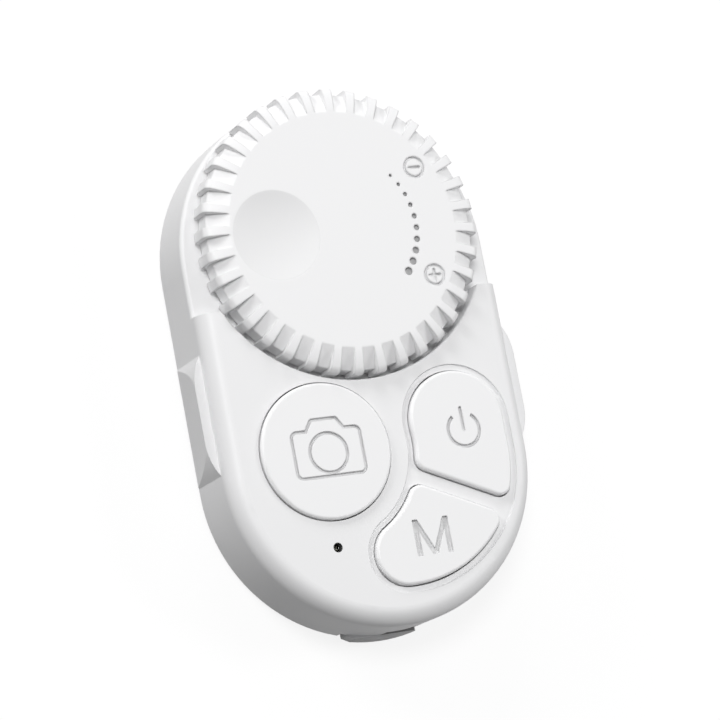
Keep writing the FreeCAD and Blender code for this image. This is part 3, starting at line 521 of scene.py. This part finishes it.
# tact switches: black body under a pressed steel plate
switchLook = {
    "color": (0.035, 0.035, 0.037), "grainSize": 0.0001, "grainDepth": 0.2,
    "roughness": (0.4, 0.55), "arris": 0.00006, "toneChange": 0.2, "ior": 1.5,
    "metal": (0.6, 0.6, 0.61), "metalRoughness": 0.3, "plateDepth": 0.0003,
}
switchTop = boxSpan("shutter_switch", upZ)[1]
switchPlate = (upZ, switchTop - switchLook["plateDepth"], beyond)
switchFinish = bandedFinish("switchBody", switchLook, [switchPlate])
for name in ("shutter_switch", "power_switch", "mode_switch"):
    paint(name, switchFinish)

# chip aerial: white ceramic with silvered ends
aerialLook = {
    "color": (0.78, 0.80, 0.83), "grainSize": 0.0001, "grainDepth": 0.05,
    "roughness": (0.2, 0.3), "arris": 0.00005, "toneChange": 0.05, "ior": 1.5,
    "metal": (0.7, 0.69, 0.66), "metalRoughness": 0.35, "endLength": 0.0006,
}
aerialEnds = endBands("chip_antenna", alongY, aerialLook["endLength"])
paint("chip_antenna", bandedFinish("aerialCeramic", aerialLook, aerialEnds))

# capacitors: tan ceramic with tinned ends
capacitorLook = {
    "color": (0.36, 0.24, 0.14), "grainSize": 0.00008, "grainDepth": 0.2,
    "roughness": (0.4, 0.5), "arris": 0.00004, "toneChange": 0.2, "ior": 1.5,
    "metal": (0.72, 0.71, 0.69), "metalRoughness": 0.35, "endLength": 0.00024,
}
capacitorEnds = endBands("board_capacitors", alongY, capacitorLook["endLength"])
paint("board_capacitors", bandedFinish("capacitorCeramic", capacitorLook, capacitorEnds))

# status light: pale resin with gilt ends
lightLook = {
    "color": (0.82, 0.78, 0.55), "grainSize": 0.0001, "grainDepth": 0.05,
    "roughness": (0.12, 0.2), "arris": 0.00004, "toneChange": 0.1, "ior": 1.5,
    "metal": (0.85, 0.66, 0.32), "metalRoughness": 0.3, "endLength": 0.00025,
}
lightEnds = endBands("status_led", acrossX, lightLook["endLength"])
paint("status_led", bandedFinish("lightResin", lightLook, lightEnds))

# socket tongue: black polymer with gilt contacts along it
tongueLook = {
    "color": (0.02, 0.02, 0.021), "grainSize": 0.0001, "grainDepth": 0.2,
    "roughness": (0.45, 0.6), "arris": 0.00005, "toneChange": 0.2, "ior": 1.5,
    "metal": (0.83, 0.62, 0.3), "metalRoughness": 0.28,
    "contacts": 6, "pitch": 0.0010, "contactWidth": 0.0004,
}
contactBands = []
for index in range(tongueLook["contacts"]):
    middle = (index - (tongueLook["contacts"] - 1) / 2) * tongueLook["pitch"]
    half = tongueLook["contactWidth"] / 2
    contactBands.append((acrossX, middle - half, middle + half))
paint("charge_socket_tongue", bandedFinish("tonguePolymer", tongueLook, contactBands))
print("banded finishes on switches, aerial, capacitors, light and tongue")


# green solder mask: copper tracks show as lighter, slightly raised lanes, with gilt test pads
def boardFinish(look):
    material, tree, shader = newMaterial("solderMask")
    links = tree.links
    place = objectPlace(tree)
    laneShape = {"Scale": 1 / look["laneSize"], "Randomness": look["laneRandomness"]}
    lanes = addTexture(tree, "ShaderNodeTexVoronoi", place, laneShape, (-850, 200),
                       feature="DISTANCE_TO_EDGE", distance="EUCLIDEAN")
    track = mapRange(tree, lanes.outputs["Distance"], 1.0, 0.0, (-600, 200),
                     look["laneEdge"], "SMOOTHSTEP")
    padShape = {"Scale": 1 / look["padSpacing"], "Randomness": look["padRandomness"]}
    pads = addTexture(tree, "ShaderNodeTexVoronoi", place, padShape, (-850, -200), feature="F1")
    pad = mathNode(tree, "LESS_THAN", pads.outputs["Distance"], look["padShare"], (-600, -200))
    weave = addTexture(tree, "ShaderNodeTexNoise", place, look["weave"], (-850, -500))

    mask, copper = opaque(look["mask"]), opaque(look["overCopper"])
    green = mixColors(tree, track, mask, copper, (-350, 200))
    tint = mixColors(tree, pad, green, opaque(look["pad"]), (-100, 200))
    links.new(tint, shader.inputs["Base Color"])
    links.new(pad, shader.inputs["Metallic"])
    rough = mapRange(tree, weave.outputs["Fac"], *look["roughness"], (-350, -400))
    links.new(rough, shader.inputs["Roughness"])
    raised = mathNode(tree, "MAXIMUM", track, pad, (-350, -100))
    links.new(addRelief(tree, raised, look["relief"]).outputs["Normal"], shader.inputs["Normal"])
    return material


boardLook = {
    "mask": (0.012, 0.11, 0.045), "overCopper": (0.03, 0.2, 0.08), "pad": (0.8, 0.58, 0.25),
    "laneSize": 0.0021, "laneRandomness": 0.75, "laneEdge": (0.06, 0.1),
    "padSpacing": 0.0034, "padRandomness": 0.35, "padShare": 0.16,
    "weave": {"Scale": 2500.0, "Detail": 3.0}, "roughness": (0.25, 0.42),
    "relief": {"Strength": 0.6, "Distance": 0.00003},
}
paint("main_board", boardFinish(boardLook))


# pouch foil: soft creases and a satin aluminium face
def foilFinish(look):
    material, tree, shader = newMaterial("cellFoil")
    links = tree.links
    place = objectPlace(tree)
    crease = addTexture(tree, "ShaderNodeTexNoise", place, look["crease"], (-850, -200),
                        noise_type="RIDGED_MULTIFRACTAL").outputs["Fac"]
    pebble = addTexture(tree, "ShaderNodeTexVoronoi", place, look["pebble"], (-850, -500),
                        feature="SMOOTH_F1").outputs["Distance"]
    low = mathNode(tree, "MULTIPLY", pebble, look["pebbleShare"], (-600, -500))
    height = mathNode(tree, "ADD", crease, low, (-400, -300))
    links.new(addRelief(tree, height, look["relief"]).outputs["Normal"], shader.inputs["Normal"])
    rough = mapRange(tree, crease, *look["roughness"], (-350, 0))
    links.new(rough, shader.inputs["Roughness"])
    tint = mixColors(tree, crease, opaque(look["foil"]), opaque(look["worn"]), (-350, 250))
    links.new(tint, shader.inputs["Base Color"])
    shader.inputs["Metallic"].default_value = look["metallic"]
    return material


foilLook = {
    "foil": (0.66, 0.67, 0.69), "worn": (0.54, 0.55, 0.57), "metallic": 0.85,
    "crease": {"Scale": 220.0, "Detail": 3.0, "Roughness": 0.5},
    "pebble": {"Scale": 1800.0}, "pebbleShare": 0.15, "roughness": (0.3, 0.45),
    "relief": {"Strength": 0.5, "Distance": 0.00012},
}
paint("battery_cell", foilFinish(foilLook))


# clear acrylic with a faint, uneven haze
def pipeFinish(look):
    material, tree, shader = newMaterial("pipeAcrylic")
    links = tree.links
    place = objectPlace(tree, (-800, 0))
    haze = addTexture(tree, "ShaderNodeTexNoise", place, look["haze"], (-600, 0)).outputs["Fac"]
    rough = mapRange(tree, haze, *look["roughness"], (-350, 0))
    links.new(rough, shader.inputs["Roughness"])
    links.new(addRelief(tree, haze, look["relief"]).outputs["Normal"], shader.inputs["Normal"])
    shader.inputs["Base Color"].default_value = opaque(look["color"])
    shader.inputs["Transmission Weight"].default_value = 1.0
    shader.inputs["IOR"].default_value = look["ior"]
    return material


pipeLook = {
    "color": (0.92, 0.94, 0.95), "roughness": (0.04, 0.12), "ior": 1.49,
    "haze": {"Scale": 2600.0, "Detail": 3.0}, "relief": {"Strength": 0.1, "Distance": 0.00001},
}
paint("light_pipe", pipeFinish(pipeLook))
print("board, cell and light pipe finished")


stageLook = {
    "size": 3.0,
    "bounce": (0.18, 0.18, 0.18),  # what the object gets back from the floor
    "whiteForCamera": 0.84,
}


def makeFloor(look):
    half = look["size"] / 2
    corners = [(-half, -half, 0), (half, -half, 0), (half, half, 0), (-half, half, 0)]
    mesh = bpy.data.meshes.new("paleFloor")
    mesh.from_pydata(corners, [], [(0, 1, 2, 3)])
    floor = bpy.data.objects.new("paleFloor", mesh)
    bpy.context.scene.collection.objects.link(floor)
    material, tree, output = emptyMaterial("floorPaper")
    links = tree.links
    paper = addNode(tree, "ShaderNodeBsdfDiffuse", (0, 100))
    paper.inputs["Color"].default_value = opaque(look["bounce"])
    glow = addNode(tree, "ShaderNodeEmission", (0, -100))
    seen = addNode(tree, "ShaderNodeLightPath", (-700, -100)).outputs
    direct = mathNode(tree, "MAXIMUM", seen["Is Camera Ray"], seen["Is Glossy Ray"], (-500, -100))
    direct = mathNode(tree, "MAXIMUM", direct, seen["Is Transmission Ray"], (-350, -100))
    strength = mathNode(tree, "MULTIPLY", direct, look["whiteForCamera"], (-200, -100))
    links.new(strength, glow.inputs["Strength"])
    both = addNode(tree, "ShaderNodeAddShader", (300, 0))
    links.new(paper.outputs[0], both.inputs[0])
    links.new(glow.outputs[0], both.inputs[1])
    links.new(both.outputs[0], output.inputs["Surface"])
    mesh.materials.append(material)


makeFloor(stageLook)

worldLook = {"fill": (0.22, 0.22, 0.222), "seen": (1.0, 1.0, 1.0)}


def makeWorld(look):
    world = bpy.data.worlds.new("studio")
    bpy.context.scene.world = world
    world.use_nodes = True
    tree = world.node_tree
    tree.nodes.clear()
    output = addNode(tree, "ShaderNodeOutputWorld", (500, 0))
    background = addNode(tree, "ShaderNodeBackground", (300, 0))
    seen = addNode(tree, "ShaderNodeLightPath", (-500, 0)).outputs
    direct = mathNode(tree, "MAXIMUM", seen["Is Camera Ray"], seen["Is Transmission Ray"], (-200, 0))
    tint = mixColors(tree, direct, opaque(look["fill"]), opaque(look["seen"]), (50, 0))
    tree.links.new(tint, background.inputs["Color"])
    tree.links.new(background.outputs[0], output.inputs["Surface"])


makeWorld(worldLook)

cameraSetup = {
    "position": (-0.162518, -0.068513, 0.372509),
    "lookAt": (0.000427, 0.000001, 0.0085),
    "up": (0.10307, 0.968106, 0.228356),
    "lens": 175.0, "clip": (0.01, 10.0),
}


def makeCamera(setup):
    data = bpy.data.cameras.new("viewCamera")
    camera = bpy.data.objects.new("viewCamera", data)
    bpy.context.scene.collection.objects.link(camera)
    data.lens = setup["lens"]
    data.clip_start, data.clip_end = setup["clip"]
    position = Vector(setup["position"])
    back = (position - Vector(setup["lookAt"])).normalized()
    right = Vector(setup["up"]).cross(back).normalized()
    up = back.cross(right)
    turn = Matrix((right, up, back)).transposed().to_4x4()
    camera.matrix_world = Matrix.Translation(position) @ turn
    bpy.context.scene.camera = camera


makeCamera(cameraSetup)

# round softboxes on a sphere about the object: azimuth from +X, elevation above the floor
lampRig = {
    "aim": (0.0, 0.0, 0.006),
    "distance": 0.9,
    "size": 0.3,
    "lamps": {
        "highKey": {"azimuth": 140, "elevation": 67, "power": 3.78},
        "lowBack": {"azimuth": 135, "elevation": 20, "power": 2.74},
        "topRim": {"azimuth": 90, "elevation": 20, "power": 1.81},
        "rightFill": {"azimuth": 0, "elevation": 33, "power": 2.4},
    },
}


def hangLamps(rig):
    aim = Vector(rig["aim"])
    for name, look in rig["lamps"].items():
        turn = math.radians(look["azimuth"])
        lift = math.radians(look["elevation"])
        level = math.cos(lift)
        way = Vector((math.cos(turn) * level, math.sin(turn) * level, math.sin(lift)))
        data = bpy.data.lights.new(name, "AREA")
        data.shape = "DISK"
        data.size = rig["size"]
        data.energy = look["power"]
        lamp = bpy.data.objects.new(name, data)
        bpy.context.scene.collection.objects.link(lamp)
        lamp.location = aim + way * rig["distance"]
        lamp.rotation_mode = "QUATERNION"
        lamp.rotation_quaternion = (-way).to_track_quat("-Z", "Y")


hangLamps(lampRig)
bpy.context.scene.view_settings.view_transform = "Standard"
print("stage, camera and", len(lampRig["lamps"]), "lamps set")
